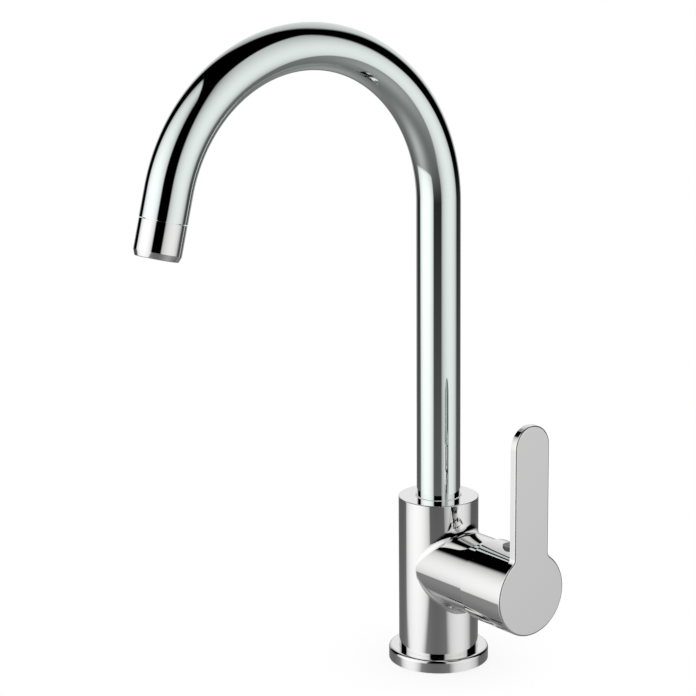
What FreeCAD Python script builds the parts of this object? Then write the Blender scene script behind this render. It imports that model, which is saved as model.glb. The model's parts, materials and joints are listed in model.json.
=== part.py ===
import FreeCAD, Part
import os
import re

import Sketcher
from FreeCAD import Rotation, Vector

# Three way filtered water tap: a one-hole kitchen mixer whose single side lever gives
# hot and cold water when it is turned forward and filtered water when it is turned back.
#
# Frame, in millimetres: +Z up, origin on the axis of the body at the worktop's surface.
# The spout points to -Y and the valve barrel with its lever to +X.

document = FreeCAD.newDocument("FilteredWaterTap")
sizes = document.addObject("Spreadsheet::Sheet", "sizes")
ALIASES = []
PARTS = []


# Clearances
running_gap = 0.08  # between a part that turns or slides and its seat
seat_gap = 0.05  # between two parts that are fixed together
swing_gap = 0.6  # between the lever's hollow and the ball shape inside it

# Body, one turned and drilled casting
body_radius = 24.0
body_foot = 4.0
body_top = 102.5
body_edge = 0.6
barrel_height = 62.0
barrel_radius = 23.2
barrel_fillet = 5.0
pivot_reach = 45.0  # lever's tilting pin, from the body's axis
crown_reach = 5.0  # how far the barrel's narrower, ball-shaped end runs past the pivot
spout_bore = 14.0
bore_floor = 69.0
chamber_radius = 6.0
chamber_floor = 59.8
barrel_wall = 4.2  # left round the ring nut's bore
cartridge_depth = 28.0  # from the pivot back to the cartridge's floor
nut_depth = 3.0  # from the pivot back to the ring nut's seat
nut_shoulder = 1.25  # step between the cartridge's bore and the nut's

# Water ways
port_circle = 10.5
port_radius = 2.3
inlet_circle = 9.5
inlet_angle = 120.0
riser_radius = 2.9
filtered_way_radius = 2.0
drill_overrun = 3.0  # how far a drilled way runs on into an open space

# Flange and gasket under the body
flange_radius = 30.2
flange_top = 8.2
flange_lift = 0.4
flange_round = 1.9
flange_hole = 20.5
gasket_radius = 28.6
gasket_hole = 22.0
gasket_thickness = 2.0

# Spout
tube_radius = 13.1
tube_wall = 1.0
tube_foot = 92.0
arch_start = 280.5
arch_radius = 93.5
arch_angle = 165.8
tube_end = 16.0
glide_depth = 8.0
fitting_foot = 76.0
fitting_spigot = 7.0
fitting_hole = 9.8
groove_depth = 1.62
groove_width = 2.0
groove_first = 1.6
groove_pitch = 3.8
stop_height = 88.0
stop_width = 4.6
stop_depth = 1.6
stop_angle = 169.0
stop_screw_radius = 1.95
stop_screw_length = 10.0
stop_screw_point = 1.5
stop_clearance = 0.3
socket_depth = 2.5

# Filtered water's own tube inside the spout
pipe_radius = 3.175
pipe_hole = 2.15
pipe_foot = 66.5
plug_foot = 64.5
plug_head = 74.0
plug_groove_depth = 1.3
plug_groove_foot = 0.8
plug_groove_width = 1.8

# Outlet, measured along its own axis from the end of the arch
insert_start = 5.0
insert_neck = 11.1
insert_end = 24.7
insert_hole = 9.6
collar_radius = 13.0
collar_groove = 0.4
collar_length = 20.4
collar_lip = 2.0
collar_mouth = 9.8
collar_taper = 2.4  # length of the tapered end
collar_draw = 0.87  # what the taper takes off the radius
collar_round = 0.4
washer_thickness = 1.2
washer_hole = 8.8
aerator_drop = 1.1
nozzle_radius = 4.05
nozzle_socket = 5.0
nozzle_lap = 1.5
nozzle_drop = 0.6
jet_radius = 1.2
jet_circle = 6.9
jet_count = 12

# Cartridge, measured along the barrel from the floor of its bore
cartridge_play = 0.25  # round the cartridge in its bore
seal_radius = 3.85
seal_height = 1.8
seal_stand = 0.6
seal_lap = 0.3
base_thickness = 3.0
fixed_disc_rim = 2.3  # between the fixed disc's edge and the cartridge's
fixed_disc_height = 3.5
moving_disc_rim = 4.9  # room for the moving disc to slide in
flat_depth = 1.1  # what each flat takes off the moving disc
moving_disc_height = 6.0
ball_hole_depth = 4.5
ball_play = 0.15
relief_depth = 0.8
housing_wall = 1.65
housing_roof = 2.0
carrier_shoulder = 4.58  # from the cartridge's edge in to the carrier's neck
carrier_neck_height = 8.6
cheek_gap = 0.15
cheek_lift = 0.5
disc_play = 0.1
slot_gap = 0.35
slot_reach = 6.2
pin_radius = 1.5
pin_sink = 0.92  # of each pin end below the carrier's neck
stem_radius = 4.0
stem_tail = 6.0
stem_length = 32.0
stem_rest_tilt = 10.0
ball_arm = 17.0
ball_radius = 2.2
ball_neck = 1.6
nut_play = 0.48  # round the carrier's neck
nut_step = 0.8  # from the nut's thread in to its neck
nut_neck_height = 3.0
dome_reach = 11.0  # how far the dome's flat front lies past the pivot
dome_wall = 1.7
dome_hole = 7.2

# Lever, hub and paddle in one casting
hub_overhang = 1.5  # how far the lever's hub stands proud of the barrel
hub_lip = 1.0
hub_lip_depth = 0.6
seam_ahead = 4.1  # from the pivot to the lever's back edge
front_ahead = 37.8  # from the pivot to the paddle's face
hollow_reach = 17.9
paddle_thickness = 4.7
paddle_half_width = 12.8
paddle_rise = 87.25  # centre of the rounded tip above the barrel's axis
notch_round = 4.5
lever_edge = 1.2
screw_ahead = 21.0  # from the pivot to the set screw's axis
set_screw_radius = 1.95
set_screw_length = 10.0
set_screw_tip = 8.05
set_screw_point = 1.0
plug_radius = 5.5
plug_stand = 1.0
plug_sink = 0.7  # of the index plug's seat below the hub's surface
plug_spigot_radius = 2.9
plug_spigot = 3.8

# Inlets and fixing under the worktop
connector_flats = 13.0
connector_drop = 12.0
connector_spigot = 9.0
connector_spigot_radius = 5.95
thread_radius = 4.5
thread_depth = 10.0
stud_offset = 13.0
stud_radius = 3.95
stud_grip = 14.0
stud_relief = 1.0
stud_play = 0.35
stud_drop = 58.0
worktop_thickness = 30.0
horseshoe_radius = 25.0
horseshoe_opening = 15.5
horseshoe_eye = 6.3
pad_thickness = 3.0
steel_thickness = 2.0
nut_flats = 13.0
nut_height = 6.5

# Sizes that follow from those above
FOLLOWING = {
    "nut_bore": "=barrel_radius - barrel_wall",
    "cartridge_bore": "=nut_bore - nut_shoulder",
    "cartridge_radius": "=cartridge_bore - cartridge_play",
    "cartridge_floor": "=pivot_reach - cartridge_depth",
    "nut_seat": "=pivot_reach - nut_depth",
    "nut_neck": "=nut_bore - nut_step",
    "fixed_disc_radius": "=cartridge_radius - fixed_disc_rim",
    "moving_disc_radius": "=cartridge_radius - moving_disc_rim",
    "moving_disc_flat": "=moving_disc_radius - flat_depth",
    "carrier_neck": "=cartridge_radius - carrier_shoulder",
    "pin_length": "=2 * (carrier_neck - pin_sink)",
    "nut_hole": "=carrier_neck + nut_play",
    "hub_radius": "=barrel_radius + hub_overhang",
    "lever_seam": "=pivot_reach + seam_ahead",
    "lever_front": "=pivot_reach + front_ahead",
    "set_screw_reach": "=pivot_reach + screw_ahead",
    "plug_seat": "=hub_radius - plug_sink",
}

# Every size goes into the sheet, one cell each, named after it
driving = {name: value for name, value in vars().items() if isinstance(value, (int, float))}
for alias, value in {**driving, **FOLLOWING}.items():
    ALIASES.append(alias)
    row = len(ALIASES)
    sizes.set("A%d" % row, alias)
    sizes.set("B%d" % row, str(value))
    sizes.setAlias("B%d" % row, alias)

document.recompute()


# ---- helpers -------------------------------------------------------------------------


def formula(text):
    """Turn an expression in plain size names into one that reads the sheet."""
    return re.sub(
        r"[a-z_]+",
        lambda found: "sizes." + found.group() if found.group() in ALIASES else found.group(),
        str(text),
    )


def number(alias):
    return float(sizes.get(alias))


def bind(thing, prop, text):
    thing.setExpression(prop, formula(text))


def place(thing, at, turn=None):
    """Put a thing at three expressions, turned by (axis, degrees)."""
    if turn:
        thing.Placement.Rotation = Rotation(Vector(*turn[0]), turn[1])
    for name, text in zip("xyz", at):
        bind(thing, "Placement.Base." + name, text)
    return thing


ALONG = {
    "z": None,
    "x": ((0, 1, 0), 90),
    "y": ((1, 0, 0), -90),
}


def rod(name, radius, length, at, along="z"):
    """A round bar from the point `at`, running along one axis."""
    bar = document.addObject("Part::Cylinder", name)
    bind(bar, "Radius", radius)
    bind(bar, "Height", length)
    return place(bar, at, ALONG[along])


def ball(name, radius, at):
    """A ball with its poles along the barrel, so that no pole lies on a cut."""
    round_one = document.addObject("Part::Sphere", name)
    bind(round_one, "Radius", radius)
    return place(round_one, at, ALONG["x"])


def block(name, across, deep, high, at):
    """A box that is centred on `at` in X and Y, and starts there in Z."""
    box = document.addObject("Part::Box", name)
    bind(box, "Length", across)
    bind(box, "Width", deep)
    bind(box, "Height", high)
    corner = ("(%s) - (%s) / 2" % (at[0], across), "(%s) - (%s) / 2" % (at[1], deep), at[2])
    return place(box, corner)


def hexagon(name, flats, height, at, along="z"):
    """A hexagonal bar, by its width across flats."""
    bar = document.addObject("Part::Prism", name)
    bar.Polygon = 6
    bind(bar, "Circumradius", "(%s) / sqrt(3)" % flats)
    bind(bar, "Height", height)
    return place(bar, at, ALONG[along])


def joined(name, pieces):
    whole = document.addObject("Part::MultiFuse", name)
    whole.Shapes = pieces
    whole.Refine = True
    return whole


def common(name, first, second):
    shared = document.addObject("Part::Common", name)
    shared.Base = first
    shared.Tool = second
    return shared


def cut(name, base, tools):
    """Take the tools away from the base."""
    rest = document.addObject("Part::Cut", name)
    rest.Base = base
    rest.Tool = tools[0] if len(tools) == 1 else joined(name + "_tools", tools)
    return rest


def ring(name, outer, inner, height, at, along="z"):
    outside = rod(name + "_outside", outer, height, at, along)
    inside = rod(name + "_inside", inner, height, at, along)
    return cut(name, outside, [inside])


def part(thing, label):
    """Keep this thing as a finished piece under its own name."""
    thing.Label = label
    PARTS.append(thing)
    return thing


def origin_plane(body, role):
    return [item for item in body.Origin.OriginFeatures if item.Role == role][0]


def outline(body, name, corners):
    """A closed outline in the body's XZ plane; each corner is (radius, height)."""
    sketch = body.newObject("Sketcher::SketchObject", name)
    sketch.AttachmentSupport = [(origin_plane(body, "XZ_Plane"), "")]
    sketch.MapMode = "FlatFace"
    count = len(corners)
    spread = Rotation(Vector(0, 0, 1), 360.0 / count)
    point = Vector(10, 0, 0)
    centre = Vector(30, 30, 0)
    start = []
    for _ in corners:
        start.append(centre + point)
        point = spread.multVec(point)
    for index in range(count):
        sketch.addGeometry(Part.LineSegment(start[index], start[(index + 1) % count]))
    for index in range(count):
        following = (index + 1) % count
        sketch.addConstraint(Sketcher.Constraint("Coincident", index, 2, following, 1))
    for index, (radius, height) in enumerate(corners):
        pin_corner(sketch, index, "DistanceX", radius, -2, start[index].x)
        pin_corner(sketch, index, "DistanceY", height, -1, start[index].y)
    return sketch


def pin_corner(sketch, index, kind, text, axis, guess):
    """Hold one corner at an expression's distance from the sketch's origin."""
    if text == "0":
        sketch.addConstraint(Sketcher.Constraint("PointOnObject", index, 1, axis))
        return
    made = sketch.addConstraint(Sketcher.Constraint(kind, -1, 1, index, 1, guess))
    label = "%s_%d" % (kind.lower(), index)
    sketch.renameConstraint(made, label)
    bind(sketch, "Constraints." + label, text)


def turned(name, corners, at=("0", "0", "0"), turn=None):
    """A body turned about its own Z axis from one outline."""
    body = document.addObject("PartDesign::Body", name)
    sketch = outline(body, name + "_outline", corners)
    solid = body.newObject("PartDesign::Revolution", name + "_turned")
    solid.Profile = sketch
    solid.ReferenceAxis = (sketch, ["V_Axis"])
    solid.Angle = 360
    place(body, at, turn)
    return body


def edges_where(shape, test):
    """Numbers of the edges whose points all pass the test."""
    found = []
    for index, edge in enumerate(shape.Edges, 1):
        if edge.Length > 1e-6 and all(test(p) for p in edge.discretize(7)):
            found.append(index)
    return found


def rounded(name, base, edges, alias):
    """Round or blend the numbered edges of a finished solid."""
    blend = document.addObject("Part::Fillet", name)
    blend.Base = base
    radius = number(alias)
    blend.Edges = [(index, radius, radius) for index in edges]
    document.recompute()
    return blend


def round_body_edge(body, name, test, alias):
    """Round the edges of a turned body that pass the test."""
    document.recompute()
    tip = body.Tip
    names = ["Edge%d" % index for index in edges_where(tip.Shape, test)]
    blend = body.newObject("PartDesign::Fillet", name)
    blend.Base = (tip, names)
    bind(blend, "Radius", alias)
    document.recompute()
    return blend


def near(first, second):
    return abs(first - second) < 1e-4


# ---- body ----------------------------------------------------------------------------

PIVOT = ("pivot_reach", "0", "barrel_height")
CROWN_END = "(pivot_reach + crown_reach)"
SIDE = "inlet_circle * sin(inlet_angle * 1 deg)"
BACK = "inlet_circle * cos(inlet_angle * 1 deg)"
DROP = "sqrt(port_circle ^ 2 - (%s) ^ 2)" % SIDE

# Each port of the cartridge, as (sideways, up) from the barrel's axis
PORTS = {
    "hot": ("-(%s)" % SIDE, "-(%s)" % DROP),
    "cold": (SIDE, "-(%s)" % DROP),
    "filtered": ("0", "-port_circle"),
    "mixed": ("0", "port_circle"),
    "drink": ("0", "0"),
}

# Each inlet under the body, as (x, y) from the body's axis
INLETS = {
    "hot": (BACK, "-(%s)" % SIDE),
    "cold": (BACK, SIDE),
    "filtered": ("inlet_circle", "0"),
}


def body_blank():
    """The upright body and the barrel, straight to the lever, with its ball-shaped end."""
    upright = rod("upright", "body_radius", "body_top - body_foot", ("0", "0", "body_foot"))
    neck = rod("barrel", "barrel_radius", "lever_seam", ("0", "0", "barrel_height"), "x")
    whole_ball = ball("crown_ball", "barrel_radius", PIVOT)
    band = rod("crown_band", "barrel_radius", "crown_reach", PIVOT, "x")
    crown = common("crown", whole_ball, band)
    blank = joined("body_blank", [upright, neck, crown])
    document.recompute()
    radius = number("body_radius")
    low = number("body_foot")
    high = number("body_top")

    def on_junction(p):
        return near((p.x**2 + p.y**2) ** 0.5, radius) and low < p.z < high

    def is_curve(index):
        return blank.Shape.Edges[index - 1].Curve.TypeId != "Part::GeomLine"

    found = [i for i in edges_where(blank.Shape, on_junction) if is_curve(i)]
    blended = rounded("body_blended", blank, found, "barrel_fillet")
    rim = edges_where(blended.Shape, lambda p: near(p.z, high))
    return rounded("body_rounded", blended, rim, "body_edge")


def water_ways():
    """Everything that is drilled in the body for water, from the inlets to the spout."""
    tools = []
    for name, (x, y) in INLETS.items():
        sideways, up = PORTS[name]
        level = "barrel_height + (%s)" % up
        height = "%s + port_radius - body_foot" % level
        tools.append(rod(name + "_riser", "riser_radius", height, (x, y, "body_foot")))
        reach = "cartridge_floor - (%s)" % x
        tools.append(rod(name + "_way", "port_radius", reach, (x, sideways, level), "x"))
        seat = "connector_spigot_radius + seat_gap"
        deep = "connector_spigot + seat_gap"
        tools.append(rod(name + "_seat", seat, deep, (x, y, "body_foot")))
    mixed = ("spout_bore - drill_overrun", "0", "barrel_height + port_circle")
    reach = "cartridge_floor - spout_bore + drill_overrun"
    tools.append(rod("mixed_way", "port_radius", reach, mixed, "x"))
    drink = ("0", "0", "barrel_height")
    tools.append(rod("drink_way", "filtered_way_radius", "cartridge_floor", drink, "x"))
    return tools


def body_casting():
    """The chromed brass body: spout bore, cartridge bore, water ways and screw holes."""
    tools = water_ways()
    bore_depth = "body_top - bore_floor"
    tools.append(rod("spout_hole", "spout_bore", bore_depth, ("0", "0", "bore_floor")))
    chamber_depth = "bore_floor - chamber_floor"
    tools.append(rod("chamber", "chamber_radius", chamber_depth, ("0", "0", "chamber_floor")))
    seat = ("cartridge_floor", "0", "barrel_height")
    tools.append(rod("cartridge_hole", "cartridge_bore", "nut_seat - cartridge_floor", seat, "x"))
    mouth = ("nut_seat", "0", "barrel_height")
    tools.append(rod("nut_hole_tool", "nut_bore", CROWN_END + " - nut_seat", mouth, "x"))
    stud = ("-stud_offset", "0", "body_foot")
    tools.append(rod("stud_hole", "stud_radius + seat_gap", "stud_grip + stud_relief", stud))
    screw = ("0", "spout_bore - drill_overrun", "stop_height")
    reach = "body_radius - spout_bore + 2 * drill_overrun"
    tools.append(rod("stop_hole", "stop_screw_radius + seat_gap", reach, screw, "y"))
    part(cut("body_cut", body_blank(), tools), "body_casting")


def base_ring():
    """The flange that the body stands in, and the gasket under it."""
    flange = turned(
        "flange",
        [
            ("flange_hole", "gasket_thickness"),
            ("gasket_radius + seat_gap", "gasket_thickness"),
            ("gasket_radius + seat_gap", "flange_lift"),
            ("flange_radius", "flange_lift"),
            ("flange_radius", "flange_top"),
            ("body_radius + seat_gap", "flange_top"),
            ("body_radius + seat_gap", "body_foot"),
            ("flange_hole", "body_foot"),
        ],
    )
    rim = number("flange_radius")
    top = number("flange_top")

    def on_rim(p):
        return near((p.x**2 + p.y**2) ** 0.5, rim) and near(p.z, top)

    round_body_edge(flange, "flange_rounded", on_rim, "flange_round")
    part(flange, "base_flange")
    gasket = ring(
        "gasket", "gasket_radius", "gasket_hole", "gasket_thickness", ("0", "0", "0")
    )
    part(gasket, "base_gasket")


# ---- spout ---------------------------------------------------------------------------

OUTLET = (
    "0",
    "-arch_radius * (1 - cos(arch_angle * 1 deg))",
    "arch_start + arch_radius * sin(arch_angle * 1 deg)",
)


def along_spout(name, radius, foot, tail):
    """A round bar that follows the spout: straight up, round the arch, straight out."""
    upright = rod(name + "_upright", radius, "arch_start - (%s)" % foot, ("0", "0", foot))
    arch = document.addObject("Part::Torus", name + "_arch")
    bind(arch, "Radius1", "arch_radius")
    bind(arch, "Radius2", radius)
    bind(arch, "Angle3", "arch_angle * 1 deg")
    place(arch, ("0", "-arch_radius", "arch_start"), ((1, 1, 1), 120))
    end = rod(name + "_end", radius, tail, ("0", "0", "0"))
    on_outlet(end, "0")
    return joined(name, [upright, arch, end])


def on_outlet(thing, distance):
    """Put a piece on the outlet's axis, at a distance from the end of the arch."""
    thing.Placement.Rotation = Rotation(Vector(1, 0, 0), 90)
    bind(thing, "Placement.Rotation.Angle", "arch_angle * 1 deg")
    aside = "%s - (%s) * sin(arch_angle * 1 deg)" % (OUTLET[1], distance)
    down = "%s + (%s) * cos(arch_angle * 1 deg)" % (OUTLET[2], distance)
    return place(thing, ("0", aside, down))


def spout_tube():
    outside = along_spout("tube_outside", "tube_radius", "tube_foot", "tube_end")
    inside = along_spout("tube_inside", "tube_radius - tube_wall", "tube_foot", "tube_end")
    part(cut("tube_cut", outside, [inside]), "spout_tube")


def filter_pipe():
    """The narrow tube that carries filtered water apart from the mixed water."""
    tail = "%s + nozzle_socket" % NOZZLE_START
    outside = along_spout("pipe_outside", "pipe_radius", "pipe_foot", tail)
    inside = along_spout("pipe_inside", "pipe_hole", "pipe_foot", tail)
    part(cut("pipe_cut", outside, [inside]), "filter_tube")
    plug_side = "chamber_radius - running_gap"
    floor = "chamber_radius - running_gap - plug_groove_depth"
    low = "plug_foot + plug_groove_foot"
    high = low + " + plug_groove_width"
    plug = turned(
        "pipe_plug",
        [
            ("filtered_way_radius", "plug_foot"),
            (plug_side, "plug_foot"),
            (plug_side, low),
            (floor, low),
            (floor, high),
            (plug_side, high),
            (plug_side, "plug_head"),
            ("pipe_radius + seat_gap", "plug_head"),
            ("pipe_radius + seat_gap", "pipe_foot"),
            ("filtered_way_radius", "pipe_foot"),
        ],
    )
    part(plug, "filter_plug")
    cord = document.addObject("Part::Torus", "plug_cord")
    bind(cord, "Radius1", "%s - plug_groove_depth / 2" % plug_side)
    bind(cord, "Radius2", "plug_groove_depth / 2")
    place(cord, ("0", "0", low + " + plug_groove_width / 2"))
    part(cord, "filter_plug_seal")


FITTING = "spout_bore - running_gap"
GROOVES = ("fitting_foot + groove_first", "fitting_foot + groove_first + groove_pitch")


def spout_fitting():
    """The turned foot of the spout: two seal grooves, and a slot for the stop screw."""
    corners = [("fitting_hole", "fitting_foot"), (FITTING, "fitting_foot")]
    floor = FITTING + " - groove_depth"
    for low in GROOVES:
        high = low + " + groove_width"
        corners += [(FITTING, low), (floor, low), (floor, high), (FITTING, high)]
    spigot = "tube_radius - tube_wall - seat_gap"
    corners += [
        (FITTING, "tube_foot"),
        (spigot, "tube_foot"),
        (spigot, "tube_foot + fitting_spigot"),
        ("fitting_hole", "tube_foot + fitting_spigot"),
    ]
    blank = turned("fitting_blank", corners)
    at = ("0", "0", "stop_height - stop_width / 2")
    outer = rod("slot_outer", "spout_bore", "stop_width", at)
    inner = rod("slot_inner", FITTING + " - stop_depth", "stop_width", at)
    for sector in (outer, inner):
        sector.Placement.Rotation = Rotation(Vector(0, 0, 1), 1)
        bind(sector, "Placement.Rotation.Angle", "(90 - stop_angle / 2) * 1 deg")
        bind(sector, "Angle", "stop_angle * 1 deg")
    slot = cut("stop_slot", outer, [inner])
    part(cut("fitting_cut", blank, [slot]), "spout_fitting")
    seals = []
    for index, low in enumerate(GROOVES):
        cord = document.addObject("Part::Torus", "seal_cord_%d" % index)
        bind(cord, "Radius1", FITTING + " - groove_depth / 2")
        bind(cord, "Radius2", "groove_depth / 2")
        seals.append(place(cord, ("0", "0", low + " + groove_width / 2")))
    pair = document.addObject("Part::Compound", "seal_pair")
    pair.Links = seals
    part(pair, "spout_seals")


def glide_ring():
    """The plastic ring that steadies the tube in the mouth of the body."""
    thing = ring(
        "glide",
        "spout_bore - seat_gap",
        "tube_radius + running_gap",
        "glide_depth",
        ("0", "0", "body_top - glide_depth"),
    )
    part(thing, "glide_ring")


def socket_screw(name, radius, length, tip):
    """A set screw with a small cone point at its foot and a hexagon socket on top."""
    blank = turned(
        name + "_blank",
        [
            ("0", "0"),
            (tip, "0"),
            (radius, "%s - %s" % (radius, tip)),
            (radius, length),
            ("0", length),
        ],
    )
    at = ("0", "0", "%s - socket_depth" % length)
    socket = hexagon(name + "_socket", radius, "socket_depth", at)
    return cut(name, blank, [socket])


def stop_screw():
    """The screw behind the body that ends in the spout's slot and limits its swing."""
    thing = socket_screw(
        "stop_screw", "stop_screw_radius", "stop_screw_length", "stop_screw_point"
    )
    start = FITTING + " - stop_depth + stop_clearance"
    place(thing, ("0", start, "stop_height"), ALONG["y"])
    part(thing, "swivel_stop_screw")


# ---- outlet --------------------------------------------------------------------------

COLLAR_START = "tube_end + collar_groove"
COLLAR_END = COLLAR_START + " + collar_length"
COLLAR_SEAT = COLLAR_END + " - collar_lip"
WASHER_END = "insert_end + washer_thickness"
NOZZLE_END = COLLAR_END + " + aerator_drop - collar_lip + nozzle_drop"
NOZZLE_START = "insert_end - nozzle_lap"


def outlet_insert():
    thing = turned(
        "insert",
        [
            ("insert_hole", "insert_start"),
            ("tube_radius - tube_wall - seat_gap", "insert_start"),
            ("tube_radius - tube_wall - seat_gap", "tube_end"),
            ("insert_neck", "tube_end"),
            ("insert_neck", "insert_end"),
            ("insert_hole", "insert_end"),
        ],
    )
    part(on_outlet(thing, "0"), "outlet_insert")


def outlet_collar():
    """The collar that screws on the insert and holds the aerator, with a tapered end."""
    thing = turned(
        "collar",
        [
            ("insert_neck + seat_gap", COLLAR_START),
            ("collar_radius", COLLAR_START),
            ("collar_radius", COLLAR_END + " - collar_taper"),
            ("collar_radius - collar_draw", COLLAR_END),
            ("collar_mouth", COLLAR_END),
            ("collar_mouth", COLLAR_SEAT),
            ("insert_neck + seat_gap", COLLAR_SEAT),
        ],
    )
    document.recompute()
    rim = number("collar_radius") - number("collar_draw")
    end = number("tube_end") + number("collar_groove") + number("collar_length")

    def on_rim(p):
        return near((p.x**2 + p.y**2) ** 0.5, rim) and near(p.z, end)

    round_body_edge(thing, "collar_rounded", on_rim, "collar_round")
    part(on_outlet(thing, "0"), "outlet_collar")


def outlet_core():
    """Washer, aerator with its ring of jets, and the filtered water's nozzle."""
    washer = ring(
        "washer", "insert_neck", "washer_hole", "washer_thickness", ("0", "0", "0")
    )
    part(on_outlet(washer, "insert_end"), "outlet_washer")
    mouth = "collar_mouth - seat_gap"
    hole = "nozzle_radius + seat_gap"
    face = COLLAR_SEAT + " + aerator_drop"
    blank = turned(
        "aerator_blank",
        [
            (hole, WASHER_END),
            ("insert_neck", WASHER_END),
            ("insert_neck", COLLAR_SEAT),
            (mouth, COLLAR_SEAT),
            (mouth, face),
            (hole, face),
        ],
    )
    jets = []
    count = int(number("jet_count"))
    for index in range(count):
        angle = "%d * 360 / jet_count * 1 deg" % index
        x = "jet_circle * cos(%s)" % angle
        y = "jet_circle * sin(%s)" % angle
        height = "(%s) - (%s)" % (face, WASHER_END)
        jets.append(rod("jet_%d" % index, "jet_radius", height, (x, y, WASHER_END)))
    aerator = cut("aerator", blank, jets)
    part(on_outlet(aerator, "0"), "aerator_insert")
    bottom = "%s + nozzle_socket" % NOZZLE_START
    nozzle = turned(
        "nozzle",
        [
            ("pipe_radius + seat_gap", NOZZLE_START),
            ("nozzle_radius", NOZZLE_START),
            ("nozzle_radius", NOZZLE_END),
            ("pipe_hole", NOZZLE_END),
            ("pipe_hole", bottom),
            ("pipe_radius + seat_gap", bottom),
        ],
    )
    part(on_outlet(nozzle, "0"), "filter_nozzle")


# ---- cartridge -----------------------------------------------------------------------

BASE_TOP = "seal_stand + base_thickness"
FIXED_TOP = BASE_TOP + " + fixed_disc_height"
MOVING_TOP = FIXED_TOP + " + moving_disc_height"
HOUSING_TOP = "nut_seat - cartridge_floor"
HOUSING_BORE = "cartridge_radius - housing_wall"
FLANGE_TOP = HOUSING_TOP + " - housing_roof - running_gap"
PIVOT_LEVEL = "pivot_reach - cartridge_floor"


def on_barrel(thing, distance):
    """Lay a piece along the barrel: its own Z runs outwards, its own X points down."""
    at = ("cartridge_floor + (%s)" % distance, "0", "barrel_height")
    return place(thing, at, ALONG["x"])


def port_rods(name, radius, height, level):
    """One short rod at each of the five ports."""
    rods = []
    for port, (sideways, up) in PORTS.items():
        label = "%s_%s" % (name, port)
        rods.append(rod(label, radius, height, ("-(%s)" % up, sideways, level)))
    return rods


def cartridge_base():
    blank = rod("base_blank", "cartridge_radius", "base_thickness", ("0", "0", "seal_stand"))
    holes = port_rods("base_hole", "port_radius", "base_thickness", "seal_stand")
    seat = "seal_radius + seat_gap"
    seats = port_rods("seal_seat", seat, "seal_height - seal_stand", "seal_stand")
    base = cut("base_cut", blank, holes + seats)
    part(on_barrel(base, "0"), "cartridge_base")
    outer = port_rods("seal_outer", "seal_radius", "seal_height", "0")
    inner = port_rods("seal_inner", "port_radius + seal_lap", "seal_height", "0")
    rings = []
    for index in range(len(outer)):
        rings.append(cut("port_seal_%d" % index, outer[index], [inner[index]]))
    group = document.addObject("Part::Compound", "port_seal_group")
    group.Links = rings
    part(on_barrel(group, "0"), "port_seals")


def ceramic_discs():
    blank = rod("fixed_blank", "fixed_disc_radius", "fixed_disc_height", ("0", "0", BASE_TOP))
    holes = port_rods("disc_hole", "port_radius", "fixed_disc_height", BASE_TOP)
    part(on_barrel(cut("fixed_disc_cut", blank, holes), "0"), "fixed_disc")
    shift = "ball_arm * sin(stem_rest_tilt * 1 deg)"
    round_one = rod(
        "moving_round", "moving_disc_radius", "moving_disc_height", (shift, "0", FIXED_TOP)
    )
    flats = block(
        "moving_flats",
        "2 * moving_disc_radius",
        "2 * moving_disc_flat",
        "moving_disc_height",
        (shift, "0", FIXED_TOP),
    )
    blank = common("moving_blank", round_one, flats)
    hole_floor = MOVING_TOP + " - ball_hole_depth"
    hole = rod("ball_hole", "ball_radius + ball_play", "ball_hole_depth", (shift, "0", hole_floor))
    relief = rod("disc_relief", "moving_disc_radius / 2", "relief_depth", (shift, "0", FIXED_TOP))
    part(on_barrel(cut("moving_disc_cut", blank, [hole, relief]), "0"), "moving_disc")


def cartridge_housing():
    thing = turned(
        "housing",
        [
            (HOUSING_BORE, BASE_TOP),
            ("cartridge_radius", BASE_TOP),
            ("cartridge_radius", HOUSING_TOP),
            ("carrier_neck + running_gap", HOUSING_TOP),
            ("carrier_neck + running_gap", HOUSING_TOP + " - housing_roof"),
            (HOUSING_BORE, HOUSING_TOP + " - housing_roof"),
        ],
    )
    part(on_barrel(thing, "0"), "cartridge_housing")


def stem_carrier():
    """The part that turns with the lever: a neck with a slot, and cheeks for the disc."""
    side = HOUSING_BORE + " - running_gap"
    low = FIXED_TOP + " + cheek_lift"
    seat = MOVING_TOP + " + disc_play"
    flange = rod("carrier_flange", side, "%s - (%s)" % (FLANGE_TOP, seat), ("0", "0", seat))
    neck = rod(
        "carrier_post", "carrier_neck", "carrier_neck_height", ("0", "0", FLANGE_TOP)
    )
    skirt = rod("carrier_skirt", side, "%s - (%s)" % (seat, low), ("0", "0", low))
    gap = block(
        "cheek_space",
        "4 * cartridge_radius",
        "2 * (moving_disc_flat + cheek_gap)",
        "%s - (%s)" % (seat, low),
        ("0", "0", low),
    )
    cheeks = cut("cheeks", skirt, [gap])
    blank = joined("carrier_blank", [flange, neck, cheeks])
    slot = block(
        "stem_slot",
        "2 * slot_reach",
        "2 * (stem_radius + slot_gap)",
        "%s - (%s) + carrier_neck_height" % (FLANGE_TOP, seat),
        ("0", "0", seat),
    )
    hole = rod(
        "pin_hole",
        "pin_radius + seat_gap",
        "2 * carrier_neck",
        ("0", "-carrier_neck", PIVOT_LEVEL),
        "y",
    )
    part(on_barrel(cut("carrier_cut", blank, [slot, hole]), "0"), "stem_carrier")
    pin = rod("pin", "pin_radius", "pin_length", ("0", "0", "0"), "y")
    place(pin, ("pivot_reach", "-pin_length / 2", "barrel_height"))
    part(pin, "carrier_pin")


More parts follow.
